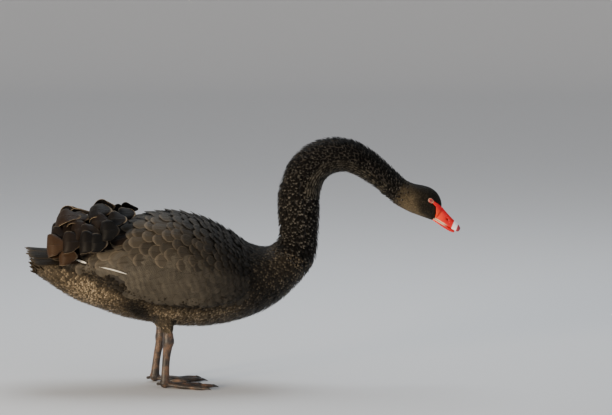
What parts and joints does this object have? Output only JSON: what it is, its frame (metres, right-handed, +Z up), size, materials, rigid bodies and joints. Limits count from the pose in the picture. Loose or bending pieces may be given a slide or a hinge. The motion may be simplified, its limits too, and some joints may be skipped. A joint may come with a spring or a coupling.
{
  "type": "black swan",
  "caption": "Life-size black swan that stands with its neck arched forward and its bill lowered, with folded wings and curled tertials.",
  "frame": {"origin": "centre of the part's box in plan, at floor level under the soles", "axes": "+X the way the swan faces, +Y its left side, +Z up"},
  "size_m": [0.9837, 0.2652, 0.5619],
  "materials": {
    "plumage": "matt blackish-brown body feathers",
    "wing_plumage": "blackish-brown wing feathers with paler edges",
    "bill": "smooth red horn, slightly glossy",
    "eye": "wet, dark red iris",
    "leg_skin": "scaled grey-brown skin, damp",
    "claw": "dark horn"
  },
  "bodies": {
    "root": {"torso": "plumage", "tail": "plumage", "neck_base": "plumage", "neck_rise": "plumage", "neck_arch": "plumage", "neck_fall": "plumage", "wing_right": "wing_plumage", "wing_left": "wing_plumage", "head": "plumage", "bill_upper": "bill", "bill_lower": "bill", "eye_right": "eye", "eye_left": "eye", "thigh_right": "plumage", "shank_right": "leg_skin", "foot_right": "leg_skin", "claw_right_inner": "claw", "claw_right_middle": "claw", "claw_right_outer": "claw", "thigh_left": "plumage", "shank_left": "leg_skin", "foot_left": "leg_skin", "claw_left_inner": "claw", "claw_left_middle": "claw", "claw_left_outer": "claw"}
  },
  "joints": []
}
